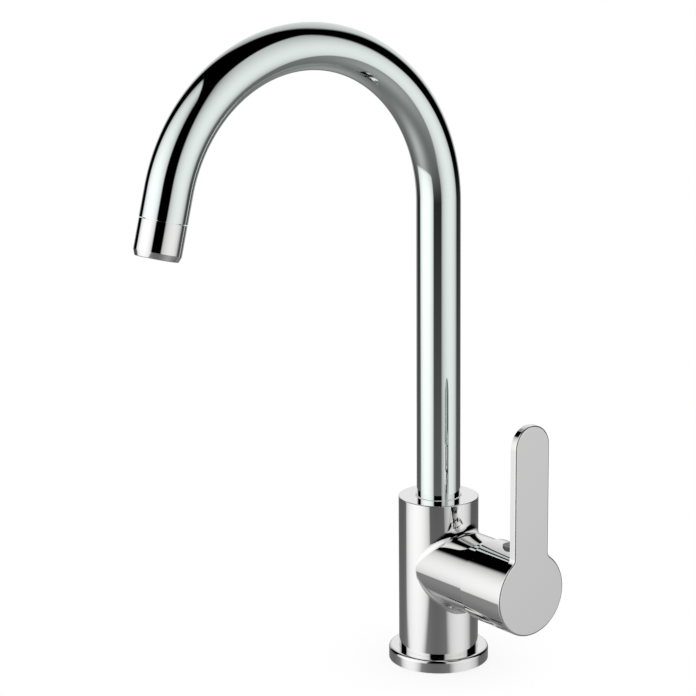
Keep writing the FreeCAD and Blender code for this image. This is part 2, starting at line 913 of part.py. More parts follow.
def stem():
    """The stem: pinned at the pivot, its ball in the moving disc, its bar in the lever."""
    bar = rod("stem_bar", "stem_radius", "stem_tail + stem_length", ("0", "0", "-stem_tail"))
    arm = rod("stem_arm", "ball_neck", "ball_arm - stem_tail", ("0", "0", "-ball_arm"))
    knob = document.addObject("Part::Sphere", "stem_ball")
    bind(knob, "Radius", "ball_radius")
    place(knob, ("0", "0", "-ball_arm"))
    blank = joined("stem_blank", [bar, arm, knob])
    hole = rod(
        "stem_hole", "pin_radius + seat_gap", "4 * stem_radius", ("0", "-2 * stem_radius", "0"), "y"
    )
    thing = cut("stem_cut", blank, [hole])
    part(on_stem_axis(thing), "lever_stem")


def on_stem_axis(thing):
    """Turn a piece from its own Z to the stem's axis, which leans up at rest."""
    thing.Placement.Rotation = Rotation(Vector(0, 1, 0), 80)
    bind(thing, "Placement.Rotation.Angle", "(90 - stem_rest_tilt) * 1 deg")
    return place(thing, PIVOT)


def cartridge_cover():
    """The ring nut that holds the cartridge, and the dome that hides it."""
    thing = turned(
        "ring_nut",
        [
            ("nut_hole", HOUSING_TOP),
            ("nut_bore - seat_gap", HOUSING_TOP),
            ("nut_bore - seat_gap", CROWN_END + " - cartridge_floor"),
            ("nut_neck", CROWN_END + " - cartridge_floor"),
            ("nut_neck", CROWN_END + " - cartridge_floor + nut_neck_height"),
            ("nut_hole", CROWN_END + " - cartridge_floor + nut_neck_height"),
        ],
    )
    part(on_barrel(thing, "0"), "cartridge_nut")
    whole_ball = ball("dome_ball", "barrel_radius", PIVOT)
    start = (CROWN_END, "0", "barrel_height")
    depth = "dome_reach - crown_reach"
    band = rod("dome_band", "barrel_radius", depth, start, "x")
    blank = common("dome_blank", whole_ball, band)
    hollow = rod("dome_hollow", "nut_neck + seat_gap", depth + " - dome_wall", start, "x")
    hole = rod("dome_hole_tool", "dome_hole", depth, start, "x")
    part(cut("dome_cut", blank, [hollow, hole]), "cartridge_dome")


# ---- lever ---------------------------------------------------------------------------


def lever_blank():
    """The hub and the paddle with its rounded tip, their notches and edges rounded."""
    front = "lever_front - paddle_thickness"
    hub_start = ("lever_seam", "0", "barrel_height")
    hub = rod("hub", "hub_radius", "lever_front - lever_seam", hub_start, "x")
    width = "2 * paddle_half_width"
    middle = ("lever_front - paddle_thickness / 2", "0", "barrel_height")
    blade = block("blade", "paddle_thickness", width, "paddle_rise", middle)
    tip_at = (front, "0", "barrel_height + paddle_rise")
    tip = rod("tip", "paddle_half_width", "paddle_thickness", tip_at, "x")
    blank = joined("lever_joined", [hub, blade, tip])
    document.recompute()
    half = number("paddle_half_width")
    rise = (number("hub_radius") ** 2 - half**2) ** 0.5 + number("barrel_height")

    def in_notch(p):
        return near(abs(p.y), half) and near(p.z, rise)

    found = edges_where(blank.Shape, in_notch)
    notched = rounded("lever_notched", blank, found, "notch_round")
    face = number("lever_front")
    outer = edges_where(notched.Shape, lambda p: near(p.x, face))
    return rounded("lever_rounded", notched, outer, "lever_edge")


def lever_handle():
    """The lever's casting: hollow behind, a socket for the stem, holes for the screw."""
    whole = ball("hollow_ball", "barrel_radius + swing_gap", PIVOT)
    depth = "pivot_reach + hollow_reach - lever_seam"
    start = ("lever_seam", "0", "barrel_height")
    limit = rod("hollow_limit", "hub_radius", depth, start, "x")
    hollow = common("hollow", whole, limit)
    lip = rod("lip_bore", "hub_radius - hub_lip", "hub_lip_depth", start, "x")
    socket = rod("stem_socket", "stem_radius + seat_gap", "stem_length + seat_gap", ("0", "0", "0"))
    on_stem_axis(socket)
    axis = ("set_screw_reach", "0", "barrel_height + stem_radius")
    screw_hole = rod("screw_hole", "set_screw_radius + seat_gap", "hub_radius", axis)
    spigot_at = ("set_screw_reach", "0", "barrel_height + plug_seat - plug_spigot - seat_gap")
    spigot_hole = rod(
        "spigot_hole", "plug_spigot_radius + seat_gap", "plug_spigot + seat_gap", spigot_at
    )
    seat_at = ("set_screw_reach", "0", "barrel_height + plug_seat")
    seat = rod("plug_recess", "plug_radius + seat_gap", "hub_radius", seat_at)
    tools = [hollow, lip, socket, screw_hole, spigot_hole, seat]
    part(cut("lever_cut", lever_blank(), tools), "lever_handle")


def lever_fixings():
    """The set screw that holds the lever on the stem, and the index plug over it."""
    screw = socket_screw(
        "lever_screw", "set_screw_radius", "set_screw_length", "set_screw_point"
    )
    place(screw, ("set_screw_reach", "0", "barrel_height + set_screw_tip"))
    part(screw, "lever_set_screw")
    top = "hub_radius + plug_stand"
    plug = turned(
        "plug",
        [
            ("0", "plug_seat - plug_spigot"),
            ("plug_spigot_radius", "plug_seat - plug_spigot"),
            ("plug_spigot_radius", "plug_seat"),
            ("plug_radius", "plug_seat"),
            ("plug_radius", top),
            ("0", top),
        ],
        ("set_screw_reach", "0", "barrel_height"),
    )
    part(plug, "index_plug")


# ---- under the worktop ---------------------------------------------------------------


def inlet_connectors():
    """One connector for each inlet: a spigot in the body and a threaded mouth below."""
    for name, (x, y) in INLETS.items():
        length = "body_foot + connector_drop"
        hexed = hexagon(name + "_hex", "connector_flats", length, ("0", "0", "-connector_drop"))
        spigot = rod(
            name + "_spigot",
            "connector_spigot_radius",
            "connector_spigot",
            ("0", "0", "body_foot"),
        )
        blank = joined(name + "_connector_blank", [hexed, spigot])
        mouth = rod(
            name + "_mouth", "thread_radius", "thread_depth", ("0", "0", "-connector_drop")
        )
        bore_length = "connector_drop + body_foot + connector_spigot"
        bore = rod(name + "_bore", "riser_radius", bore_length, ("0", "0", "-connector_drop"))
        thing = cut(name + "_connector", blank, [mouth, bore])
        place(thing, (x, y, "0"))
        part(thing, "inlet_connector_" + name)


def horseshoe(name, thickness, top):
    """A plate shaped like a horseshoe: it leaves the hoses room and rings the stud."""
    at = ("0", "0", "-(%s) - %s" % (top, thickness))
    disc = rod(name + "_disc", "horseshoe_radius", thickness, at)
    opening = rod(name + "_opening", "horseshoe_opening", thickness, at)
    gate = block(
        name + "_gate",
        "2 * horseshoe_radius",
        "2 * horseshoe_opening",
        thickness,
        ("horseshoe_radius", "0", at[2]),
    )
    arms = cut(name + "_arms", disc, [opening, gate])
    stud = ("-stud_offset", "0", at[2])
    eye = rod(name + "_eye", "horseshoe_eye", thickness, stud)
    blank = joined(name + "_blank", [arms, eye])
    hole = rod(name + "_hole", "stud_radius + stud_play", thickness, stud)
    return cut(name, blank, [hole])


def fixing():
    """Stud, rubber pad, steel plate and nut that clamp the tap to the worktop."""
    length = "stud_grip + stud_drop + body_foot"
    stud = rod("stud", "stud_radius", length, ("-stud_offset", "0", "-stud_drop"))
    part(stud, "mounting_stud")
    part(horseshoe("pad", "pad_thickness", "worktop_thickness"), "horseshoe_pad")
    under = "worktop_thickness + pad_thickness"
    part(horseshoe("steel", "steel_thickness", under), "horseshoe_washer")
    low = "-(%s + steel_thickness + nut_height)" % under
    blank = hexagon("nut_blank", "nut_flats", "nut_height", ("-stud_offset", "0", low))
    hole = rod("nut_thread", "stud_radius + seat_gap", "nut_height", ("-stud_offset", "0", low))
    part(cut("nut_cut", blank, [hole]), "mounting_nut")


# ---- build ---------------------------------------------------------------------------

body_casting()
base_ring()
glide_ring()
spout_tube()
spout_fitting()
stop_screw()
filter_pipe()
outlet_insert()
outlet_collar()
outlet_core()
cartridge_base()
ceramic_discs()
cartridge_housing()
stem_carrier()
stem()
cartridge_cover()
lever_handle()
lever_fixings()
inlet_connectors()
fixing()
document.recompute()

for thing in document.Objects:
    if "Invalid" in thing.State or "Error" in thing.State:
        raise RuntimeError("%s failed: %s" % (thing.Name, thing.State))

os.makedirs("parts", exist_ok=True)
for thing in PARTS:
    shape = thing.Shape
    if shape.isNull() or not shape.isValid():
        raise RuntimeError("%s has no valid shape" % thing.Label)
    shape.exportStep(os.path.join("parts", thing.Label + ".step"))
    box = shape.BoundBox
    print(
        "%-26s %d solid(s) %10.1f mm3  x %7.2f %7.2f  y %8.2f %7.2f  z %7.2f %7.2f"
        % (
            thing.Label,
            len(shape.Solids),
            shape.Volume,
            box.XMin,
            box.XMax,
            box.YMin,
            box.YMax,
            box.ZMin,
            box.ZMax,
        )
    )
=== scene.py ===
"""Dresses the three way filtered water tap: plated metal, turned details, studio and camera."""

import json
import math

import bpy
import numpy as np
from mathutils import Euler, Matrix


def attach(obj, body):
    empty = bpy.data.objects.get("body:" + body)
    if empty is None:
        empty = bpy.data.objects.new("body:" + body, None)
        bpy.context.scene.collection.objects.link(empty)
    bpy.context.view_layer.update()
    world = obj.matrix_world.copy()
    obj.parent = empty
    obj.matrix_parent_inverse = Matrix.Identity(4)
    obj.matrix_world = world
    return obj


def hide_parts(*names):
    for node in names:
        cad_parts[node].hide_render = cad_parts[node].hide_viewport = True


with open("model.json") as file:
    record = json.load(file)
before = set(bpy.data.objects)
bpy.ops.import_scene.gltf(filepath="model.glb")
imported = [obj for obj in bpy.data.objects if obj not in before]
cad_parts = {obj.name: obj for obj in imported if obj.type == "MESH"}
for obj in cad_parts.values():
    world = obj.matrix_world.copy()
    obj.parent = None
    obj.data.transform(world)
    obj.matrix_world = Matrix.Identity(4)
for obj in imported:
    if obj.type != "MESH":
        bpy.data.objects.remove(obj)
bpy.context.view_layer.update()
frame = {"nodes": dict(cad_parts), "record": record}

nodes = frame["nodes"]

MM = 0.001

# ---- materials -------------------------------------------------------------------------

CHROME, CHROME_CLOUD = (0.90, 0.90, 0.895), (0.885, 0.887, 0.885)
TUBE_CHROME, TUBE_CLOUD = (0.858, 0.925, 0.905), (0.848, 0.915, 0.895)
# Painted shade on the lever's flat front: a darker colour that stands in for its dimmer
# reflection, darkest low down by the disc.
LEVER_PAINTED_SHADE_LOW, LEVER_PAINTED_SHADE_HIGH = (0.688, 0.694, 0.688), (0.712, 0.712, 0.710)

# The roughness of bright plate, from its clearest to its haziest, and at a rounded edge.
BRIGHT = (0.02, 0.045)
EDGE_ROUGHNESS = 0.26

# The rounded edges of the lever's front and of the body's top: axis, start and end.
LEVER_EDGE = ("X", 81.58 * MM, 82.72 * MM)
BODY_EDGE = ("Z", 101.88 * MM, 102.47 * MM)
EDGE_FADE = 0.08 * MM

# The lever's flat front begins here on X, and its painted shade changes over this height on Z.
LEVER_FRONT = (82.62 * MM, 82.76 * MM)
LEVER_SHADE_HEIGHT = (45 * MM, 150 * MM)


class Finish:
    """A node material: shader sockets by name, and small helpers that chain its nodes."""

    def __init__(self, name, colour, metallic, roughness):
        self.material = bpy.data.materials.new(name)
        self.material.use_nodes = True
        self.tree = self.material.node_tree
        self.shader = self.tree.nodes["Principled BSDF"]
        self.shader.inputs["Base Color"].default_value = (*colour, 1)
        self.shader.inputs["Metallic"].default_value = metallic
        self.shader.inputs["Roughness"].default_value = roughness
        self.place = self.tree.nodes.new("ShaderNodeTexCoord").outputs["Object"]

    def node(self, kind, **settings):
        made = self.tree.nodes.new(kind)
        for key, value in settings.items():
            setattr(made, key, value)
        return made

    def link(self, source, target):
        self.tree.links.new(source, target)

    def feed(self, value, socket):
        """Links another node's socket, or sets a plain number or colour."""
        if isinstance(value, bpy.types.NodeSocket):
            self.link(value, socket)
        else:
            socket.default_value = value

    def sum(self, operation, *values):
        """One step of arithmetic on numbers or sockets."""
        made = self.node("ShaderNodeMath", operation=operation)
        for value, socket in zip(values, made.inputs):
            self.feed(value, socket)
        return made.outputs[0]

    def noise(self, scale, detail=3.0, rough=0.55, stretch=(1, 1, 1)):
        """Cloudy noise over the object, scale in cycles per metre."""
        mapping = self.node("ShaderNodeMapping")
        mapping.inputs["Scale"].default_value = stretch
        self.link(self.place, mapping.inputs["Vector"])
        made = self.node("ShaderNodeTexNoise")
        made.inputs["Scale"].default_value = scale
        made.inputs["Detail"].default_value = detail
        made.inputs["Roughness"].default_value = rough
        self.link(mapping.outputs["Vector"], made.inputs["Vector"])
        return made.outputs["Fac"]

    def coordinate(self, axis):
        """The object's own X, Y or Z in metres."""
        split = self.node("ShaderNodeSeparateXYZ")
        self.link(self.place, split.inputs[0])
        return split.outputs[axis]

    def spread(self, source, low, high, start=0.3, end=0.7, **settings):
        """Values from start to end become low to high; noise lies mostly from 0.3 to 0.7."""
        made = self.node("ShaderNodeMapRange", **settings)
        made.inputs["From Min"].default_value = start
        made.inputs["From Max"].default_value = end
        made.inputs["To Min"].default_value = low
        made.inputs["To Max"].default_value = high
        self.link(source, made.inputs["Value"])
        return made.outputs["Result"]

    def blend(self, kind, factor, first, second):
        """Runs from first to second, numbers or colours, as the factor goes from 0 to 1."""
        made = self.node("ShaderNodeMix", data_type=kind)
        self.link(factor, made.inputs["Factor"])
        self.feed(first, made.inputs["A"])
        self.feed(second, made.inputs["B"])
        return made.outputs["Result"]

    def blend_colours(self, factor, first, second):
        """The base colour runs from first to second with the factor."""
        colour = self.blend("RGBA", factor, (*first, 1), (*second, 1))
        self.link(colour, self.shader.inputs["Base Color"])

    def between(self, axis, start, end):
        """1 where the object's own coordinate on the axis lies from start to end, else 0."""
        place = self.coordinate(axis)
        rising = self.spread(place, 0, 1, start, start + EDGE_FADE)
        falling = self.spread(place, 1, 0, end - EDGE_FADE, end)
        return self.sum("MULTIPLY", rising, falling)

    def relief(self, source, depth, strength):
        """Bump of that depth in metres."""
        made = self.node("ShaderNodeBump")
        made.inputs["Distance"].default_value = depth
        made.inputs["Strength"].default_value = strength
        self.link(source, made.inputs["Height"])
        self.link(made.outputs["Normal"], self.shader.inputs["Normal"])

    def bright_plate(self, edge=None):
        """Gloss and relief of bright plate: a faint cloudy haze and a trace of unevenness. A
        rounded edge is less bright, because the polishing wheel runs off it."""
        roughness = self.spread(self.noise(60, 4), *BRIGHT)
        if edge:
            roughness = self.blend("FLOAT", self.between(*edge), roughness, EDGE_ROUGHNESS)
        self.link(roughness, self.shader.inputs["Roughness"])
        self.relief(self.noise(420, 2), 0.001 * MM, 0.2)


def plated(name, colour, cloud, edge=None):
    """Bright chrome plate with a trace of colour variation."""
    finish = Finish(name, colour, 1.0, sum(BRIGHT) / 2)
    finish.bright_plate(edge)
    finish.blend_colours(finish.spread(finish.noise(9, 2), 0, 1), colour, cloud)
    return finish.material


def lever_plate_painted_shade(name):
    """Chrome of the lever, whose flat front is closer polished than its rounded edge. The flat
    front also carries painted shade: a darker colour that stands in for its dimmer reflection,
    deepening a little from the tip down to the disc."""
    finish = Finish(name, CHROME, 1.0, sum(BRIGHT) / 2)
    finish.bright_plate(LEVER_EDGE)
    front = finish.spread(finish.coordinate("X"), 0, 1, *LEVER_FRONT)
    height = finish.spread(finish.coordinate("Z"), 0, 1, *LEVER_SHADE_HEIGHT)
    # Painted shade: the flat front's colour is darkened for its dimmer reflection, more so
    # towards the disc.
    face = finish.blend("RGBA", height, (*LEVER_PAINTED_SHADE_LOW, 1), (*LEVER_PAINTED_SHADE_HIGH, 1))
    colour = finish.blend("RGBA", front, (*CHROME, 1), face)
    finish.link(colour, finish.shader.inputs["Base Color"])
    return finish.material


def turned_metal(name, colour, darker, low, high):
    """Turned or drawn metal: fine lathe marks in gloss and relief, and cloudy colour."""
    finish = Finish(name, colour, 1.0, (low + high) / 2)
    marks = finish.noise(1400, 2, 0.6, (0.15, 0.15, 1))
    finish.link(finish.spread(marks, low, high), finish.shader.inputs["Roughness"])
    finish.blend_colours(finish.spread(finish.noise(80, 4), 0, 1), colour, darker)
    finish.relief(marks, 0.004 * MM, 0.35)
    return finish.material


def moulded(name, colour, lighter, low, high, scale, depth):
    """Moulded rubber or plastic: fine grain in relief, cloudy colour and gloss."""
    finish = Finish(name, colour, 0.0, (low + high) / 2)
    grain = finish.noise(scale)
    finish.link(finish.spread(grain, low, high), finish.shader.inputs["Roughness"])
    finish.blend_colours(finish.spread(finish.noise(90), 0, 1), colour, lighter)
    finish.relief(grain, depth * MM, 0.5)
    return finish.material


chrome = plated("polished_chrome", CHROME, CHROME_CLOUD)
tube_chrome = plated("tube_chrome", TUBE_CHROME, TUBE_CLOUD)
body_chrome = plated("body_chrome", CHROME, CHROME_CLOUD, BODY_EDGE)
lever_chrome_painted_shade = lever_plate_painted_shade("lever_chrome_painted_shade")
brass = turned_metal("turned_brass", (0.78, 0.60, 0.30), (0.70, 0.53, 0.25), 0.18, 0.34)
steel = turned_metal("stainless_steel", (0.62, 0.63, 0.65), (0.55, 0.56, 0.58), 0.2, 0.38)
rubber = moulded(
    "black_rubber", (0.022, 0.022, 0.023), (0.035, 0.035, 0.036), 0.5, 0.7, 1500, 0.02
)
acetal = moulded(
    "white_acetal", (0.83, 0.83, 0.80), (0.86, 0.86, 0.84), 0.3, 0.42, 1200, 0.008
)
ceramic = moulded(
    "lapped_ceramic", (0.90, 0.90, 0.88), (0.93, 0.93, 0.92), 0.12, 0.2, 2000, 0.002
)
grey_cap = moulded(
    "grey_cap", (0.045, 0.045, 0.05), (0.06, 0.06, 0.065), 0.2, 0.32, 1600, 0.004
)

FINISHES = {
    "polished_chrome": chrome,
    "plain_brass": brass,
    "plain_steel": steel,
    "black_rubber": rubber,
    "white_plastic": acetal,
    "white_ceramic": ceramic,
    "dark_grey_plastic": grey_cap,
}

OWN_FINISHES = {
    "spout_tube": tube_chrome,
    "outlet_insert": chrome,
    "lever_handle": lever_chrome_painted_shade,
    "body_casting": body_chrome,
}

for row in frame["record"]["subparts"]:
    node = nodes[row["node"]]
    finish = OWN_FINISHES.get(row["node"], FINISHES[row["material_slot"]])
    node.data.materials.clear()
    node.data.materials.append(finish)

# ---- pieces: shared work ---------------------------------------------------------------

UP = (0.0, 0.0, 1.0)
SIDEWAYS = np.array((1.0, 0.0, 0.0))


def angles(around):
    """Even angles round a full turn."""
    return np.arange(around) * 2 * np.pi / around


def loop_faces(rows, around, closed):
    """Four-sided faces over a grid of points that closes around, and along too if closed."""
    index = np.arange(rows * around).reshape(rows, around)
    ahead = np.roll(index, -1, 0) if closed else index[1:]
    here = index if closed else index[:-1]
    corners = [here, np.roll(here, -1, 1), np.roll(ahead, -1, 1), ahead]
    return np.stack(corners, -1).reshape(-1, 4)


def outward(points, faces):
    """The faces, turned over if the volume they hold, the sum of a . (b x c) / 6, is negative."""
    whole = 0.0
    for face in faces:
        a, b, c = points[face[:, 0]], points[face[:, 1:-1]], points[face[:, 2:]]
        whole += np.einsum("ik,ijk->", a, np.cross(b, c))
    return [face[:, ::-1] if whole < 0 else face for face in faces]


def piece(name, points, faces, finish, node, body, slot, crease=15):
    """A mesh from an array of points and arrays of faces, in the place of a node; its surface
    is smooth but for edges that bend by more than the crease in degrees."""
    mesh = bpy.data.meshes.new(name)
    rows = [row for face in outward(points, faces) for row in face.tolist()]
    mesh.from_pydata(points.tolist(), [], rows)
    mesh.shade_smooth()
    mesh.set_sharp_from_angle(angle=math.radians(crease))
    mesh.materials.append(finish)
    thing = bpy.data.objects.new(name, mesh)
    bpy.context.scene.collection.objects.link(thing)
    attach(thing, body)
    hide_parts(node)


def divided(profile, parts):
    """The corners of a closed outline with the same number of steps along each side."""
    corners = np.array(profile, float)
    t = np.arange(parts)[None, :, None] / parts
    sides = corners[:, None] * (1 - t) + np.roll(corners, -1, 0)[:, None] * t
    return sides.reshape(-1, corners.shape[1])


def turned_points(along, radius, origin, axis):
    """Each point is origin + along * axis + radius * (cos t, sin t) across the axis, with t
    even around; along and radius are grids of rows by angle."""
    t = angles(radius.shape[1])
    axis = np.array(axis)
    rim = np.cos(t)[:, None] * SIDEWAYS + np.sin(t)[:, None] * np.cross(axis, SIDEWAYS)
    points = along[..., None] * axis + radius[..., None] * rim
    return (np.array(origin) + points).reshape(-1, 3)


def ring_piece(name, profile, around, origin, axis, flats=None, parts=1, **given):
    """A closed outline of (along, radius) in mm turned once around; with flats, the radius is
    at most the hexagon's, half the flats over the cosine of the angle from the nearest flat."""
    rows = divided(profile, parts) * MM
    radius = np.repeat(rows[:, 1:], around, 1)
    if flats:
        from_flat = angles(around) % (np.pi / 3) - np.pi / 6
        radius = np.minimum(radius, flats / 2 * MM / np.cos(from_flat))
    along = np.repeat(rows[:, :1], around, 1)
    points = turned_points(along, radius, origin, axis)
    piece(name, points, [loop_faces(len(rows), around, True)], **given)


def capped_piece(name, along, radius, origin, axis, **given):
    """Rows of rings, closed with one point on the axis at each end."""
    rows, around = radius.shape
    points = turned_points(along, radius, origin, axis)
    ends = [np.array(origin) + along[i].mean() * np.array(axis) for i in (0, -1)]
    points = np.vstack([points, ends])
    ring = np.arange(around)
    last = (rows - 1) * around + ring
    low = np.stack([np.full(around, rows * around), np.roll(ring, -1), ring], -1)
    high = np.stack([np.full(around, rows * around + 1), last, np.roll(last, -1)], -1)
    piece(name, points, [loop_faces(rows, around, False), low, high], **given)


# ---- pieces: spout ---------------------------------------------------------------------

TUBE_OUTSIDE, TUBE_INSIDE = 13.08 * MM, 12.1 * MM
TUBE_FOOT, TUBE_TAIL = 92 * MM, 16 * MM
ARCH_START, ARCH_RADIUS, ARCH_ANGLE = 280.5 * MM, 93.5 * MM, math.radians(165.8)
SMOOTH_ROUND = 144


def spout_line(upright, bend, tail):
    """Middle points and directions along the spout: up the Z axis, round the arch, where the
    point is R (cos a - 1) along Y and start + R sin a along Z, and straight out."""
    z = np.linspace(TUBE_FOOT, ARCH_START, upright, endpoint=False)
    a = np.linspace(0, ARCH_ANGLE, bend)
    t = np.linspace(0, TUBE_TAIL, tail + 1)[1:]
    foot = np.stack([z * 0, z * 0, z], -1)
    arch_y, arch_z = ARCH_RADIUS * (np.cos(a) - 1), ARCH_START + ARCH_RADIUS * np.sin(a)
    arch = np.stack([a * 0, arch_y, arch_z], -1)
    way = np.stack([a * 0, -np.sin(a), np.cos(a)], -1)
    out = arch[-1] + t[:, None] * way[-1]
    ways = np.vstack([np.tile(way[0], (upright, 1)), way, np.tile(way[-1], (tail, 1))])
    return np.vstack([foot, arch, out]), ways


def tube_shell(radius, upright, bend, tail):
    """A circle carried along the spout line: each point is middle + radius * (cos t * X
    + sin t * across), where across is square to X and to the line's direction."""
    middle, way = spout_line(upright, bend, tail)
    t = angles(SMOOTH_ROUND)
    across = np.cross(way, SIDEWAYS)[:, None]
    rim = np.cos(t)[None, :, None] * SIDEWAYS + np.sin(t)[None, :, None] * across
    return middle[:, None] + radius * rim


def spout_arch():
    """The drawn tube: its outside carried along the spout line and its inside carried back,
    so that both ends are closed by their rims."""
    outside = tube_shell(TUBE_OUTSIDE, 24, 220, 4)
    inside = tube_shell(TUBE_INSIDE, 2, 72, 2)[::-1]
    grid = np.vstack([outside, inside])
    piece("spout_arch", grid.reshape(-1, 3), [loop_faces(len(grid), SMOOTH_ROUND, True)],
          finish=tube_chrome, node="spout_tube", body="spout", slot="polished_chrome")


def outlet_ring():
    """The collar at the outlet: straight, then a taper with a small rounding, whose circle of
    radius r touches the taper and the end."""
    start, seat, end = 16.4, 34.8, 36.3  # from the end of the arch
    outside, screw, mouth = 13.0, 11.2, 9.8  # radii
    taper, slope, r = 3.4, math.radians(20), 0.6
    bevel = 0.1
    touch = r / math.cos(slope) - r * math.tan(slope)
    middle_along, middle_radius = end - r, outside - taper * math.tan(slope) - touch
    turn = np.linspace(slope, math.radians(90), 7)
    rounding = np.stack([middle_along + r * np.sin(turn), middle_radius + r * np.cos(turn)], -1)
    profile = [
        (start, screw), (start, outside - bevel), (start + bevel, outside),
        (end - taper, outside), *rounding.tolist(),
        (end, mouth + 2 * bevel), (end - 2 * bevel, mouth), (seat, mouth), (seat, screw),
    ]
    line, ways = spout_line(2, 8, 1)
    ring_piece("outlet_ring", profile, SMOOTH_ROUND, line[-2], ways[-1], finish=chrome,
               node="outlet_collar", body="spout", slot="polished_chrome")


# ---- pieces: under the worktop ---------------------------------------------------------

STUD_PLACE = (-13 * MM, 0, 0)
STUD_LOW, STUD_HIGH = -58.0, 18.0
SPANNER = 13.0  # across the flats of the nut and the connectors
CORNER = 7.51  # radius to the corners of the same hexagon
TAIL_OFFSET = 9.5 * MM


def threaded_stud():
    """The M8 stud: the radius falls from its crest by the depth times a triangle wave of
    height / pitch - angle / turn, cut flat at crest and root, and runs in to a chamfer at
    both ends."""
    around, steps, pitch, crest, depth = 48, 10, 1.25, 3.95, 0.62
    steepness, flat, chamfer = 1.35, 0.15, 1.0
    z = np.arange(STUD_LOW, STUD_HIGH + 1e-6, pitch / steps)
    t = np.arange(around) / around
    wave = (z[:, None] / pitch - t[None]) % 1
    groove = np.clip(steepness * (1 - np.abs(2 * wave - 1)) - flat, 0, 1)
    from_end = np.minimum(z - STUD_LOW, STUD_HIGH - z)[:, None]
    radius = np.minimum(crest - depth * groove, crest - chamfer + from_end) * MM
    along = np.repeat(z[:, None], around, 1) * MM
    capped_piece("threaded_stud", along, radius, STUD_PLACE, UP, finish=steel,
                 node="mounting_stud", body="tap_body", slot="plain_steel", crease=45)


def clamp_nut():
    """The nut under the clamping plate, with chamfered corners and a countersunk thread."""
    low, high, chamfer = -41.5, -35.0, 0.6
    thread, face, countersink = 4.0, 6.4, 0.4
    outline = [
        (low, face), (low + chamfer, CORNER), (high - chamfer, CORNER), (high, face),
        (high, thread + countersink), (high - countersink, thread),
        (low + countersink, thread), (low, thread + countersink),
    ]
    ring_piece("clamp_nut", outline, 96, STUD_PLACE, UP, SPANNER, 6, finish=steel,
               node="mounting_nut", body="tap_body", slot="plain_steel")


def inlet_tails():
    """The three inlet connectors: a chamfered hexagon and a round neck, 120 degrees apart."""
    low, shoulder, high = -12.0, 4.0, 13.0
    neck, bore, socket, floor = 5.95, 2.9, 4.5, -2.0
    outline = [
        (low, 6.2), (low + 0.8, CORNER), (shoulder - 0.6, CORNER), (shoulder, 6.5),
        (shoulder, neck), (high - 0.5, neck), (high, neck - 0.5), (high, bore),
        (floor, bore), (floor, socket), (low + 0.5, socket), (low, socket + 0.5),
    ]
    for name, turn in (("hot", -120), ("cold", 120), ("filtered", 0)):
        angle = math.radians(turn)
        place = (TAIL_OFFSET * math.cos(angle), TAIL_OFFSET * math.sin(angle), 0)
        ring_piece(name + "_tail", outline, 96, place, UP, SPANNER, 4, finish=brass,
                   node="inlet_connector_" + name, body="tap_body", slot="plain_brass")


spout_arch()
outlet_ring()
threaded_stud()
clamp_nut()
inlet_tails()

# ---- studio ----------------------------------------------------------------------------

DOME_RADIUS = 2.18
DOME_CENTRE = (0.0, -0.0245, -0.078)
GAIN = 1 / 0.9  # the metal gives back nine tenths of what it sees
EDGE_ON = 0.02  # a looking direction with less than this along a panel's facing misses it
WIDEST = 4.0  # the tangents on a panel are held to this


